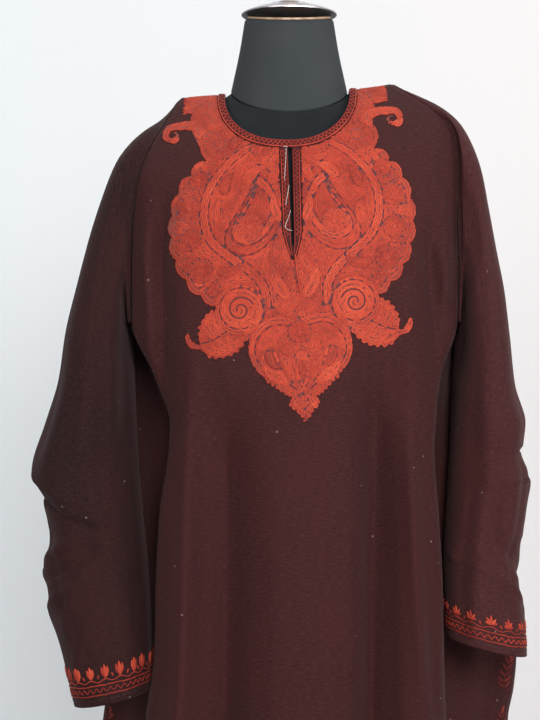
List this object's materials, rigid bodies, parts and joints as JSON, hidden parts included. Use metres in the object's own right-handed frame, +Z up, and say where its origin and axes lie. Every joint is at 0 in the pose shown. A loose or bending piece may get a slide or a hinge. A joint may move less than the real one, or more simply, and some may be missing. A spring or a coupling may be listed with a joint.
{
  "type": "pheran on a dress form",
  "caption": "Loose woollen gown with long sleeves, a bound neck slit and an embroidered yoke, standing on a limbless dress form.",
  "frame": {"origin": "on the floor, under the middle of the part's width and depth", "axes": "+Z up, the front of the gown faces -Y, +X to the right of someone who looks at the front"},
  "size_m": [0.5418, 0.39, 1.53],
  "materials": {
    "wool": "matt plain-weave wool, dark maroon brown",
    "binding": "self-fabric binding under zigzag stitches",
    "embroidery": "rust orange chain-stitched wool thread",
    "thread": "pale basting thread",
    "form_cover": "smooth charcoal cover",
    "satin_metal": "satin silver",
    "wood": "pale turned wood",
    "dark_metal": "satin black paint"
  },
  "bodies": {
    "root": {"front": "wool", "back": "wool", "gore_left": "wool", "gore_right": "wool", "sleeve_left": "wool", "sleeve_right": "wool", "neck_band": "binding", "slit_band_left": "binding", "slit_band_right": "binding", "form_torso": "form_cover", "form_neck": "form_cover", "form_neck_board": "wood", "form_cap": "satin_metal", "form_knob": "wood", "form_pole": "dark_metal", "form_base": "dark_metal"}
  },
  "joints": []
}
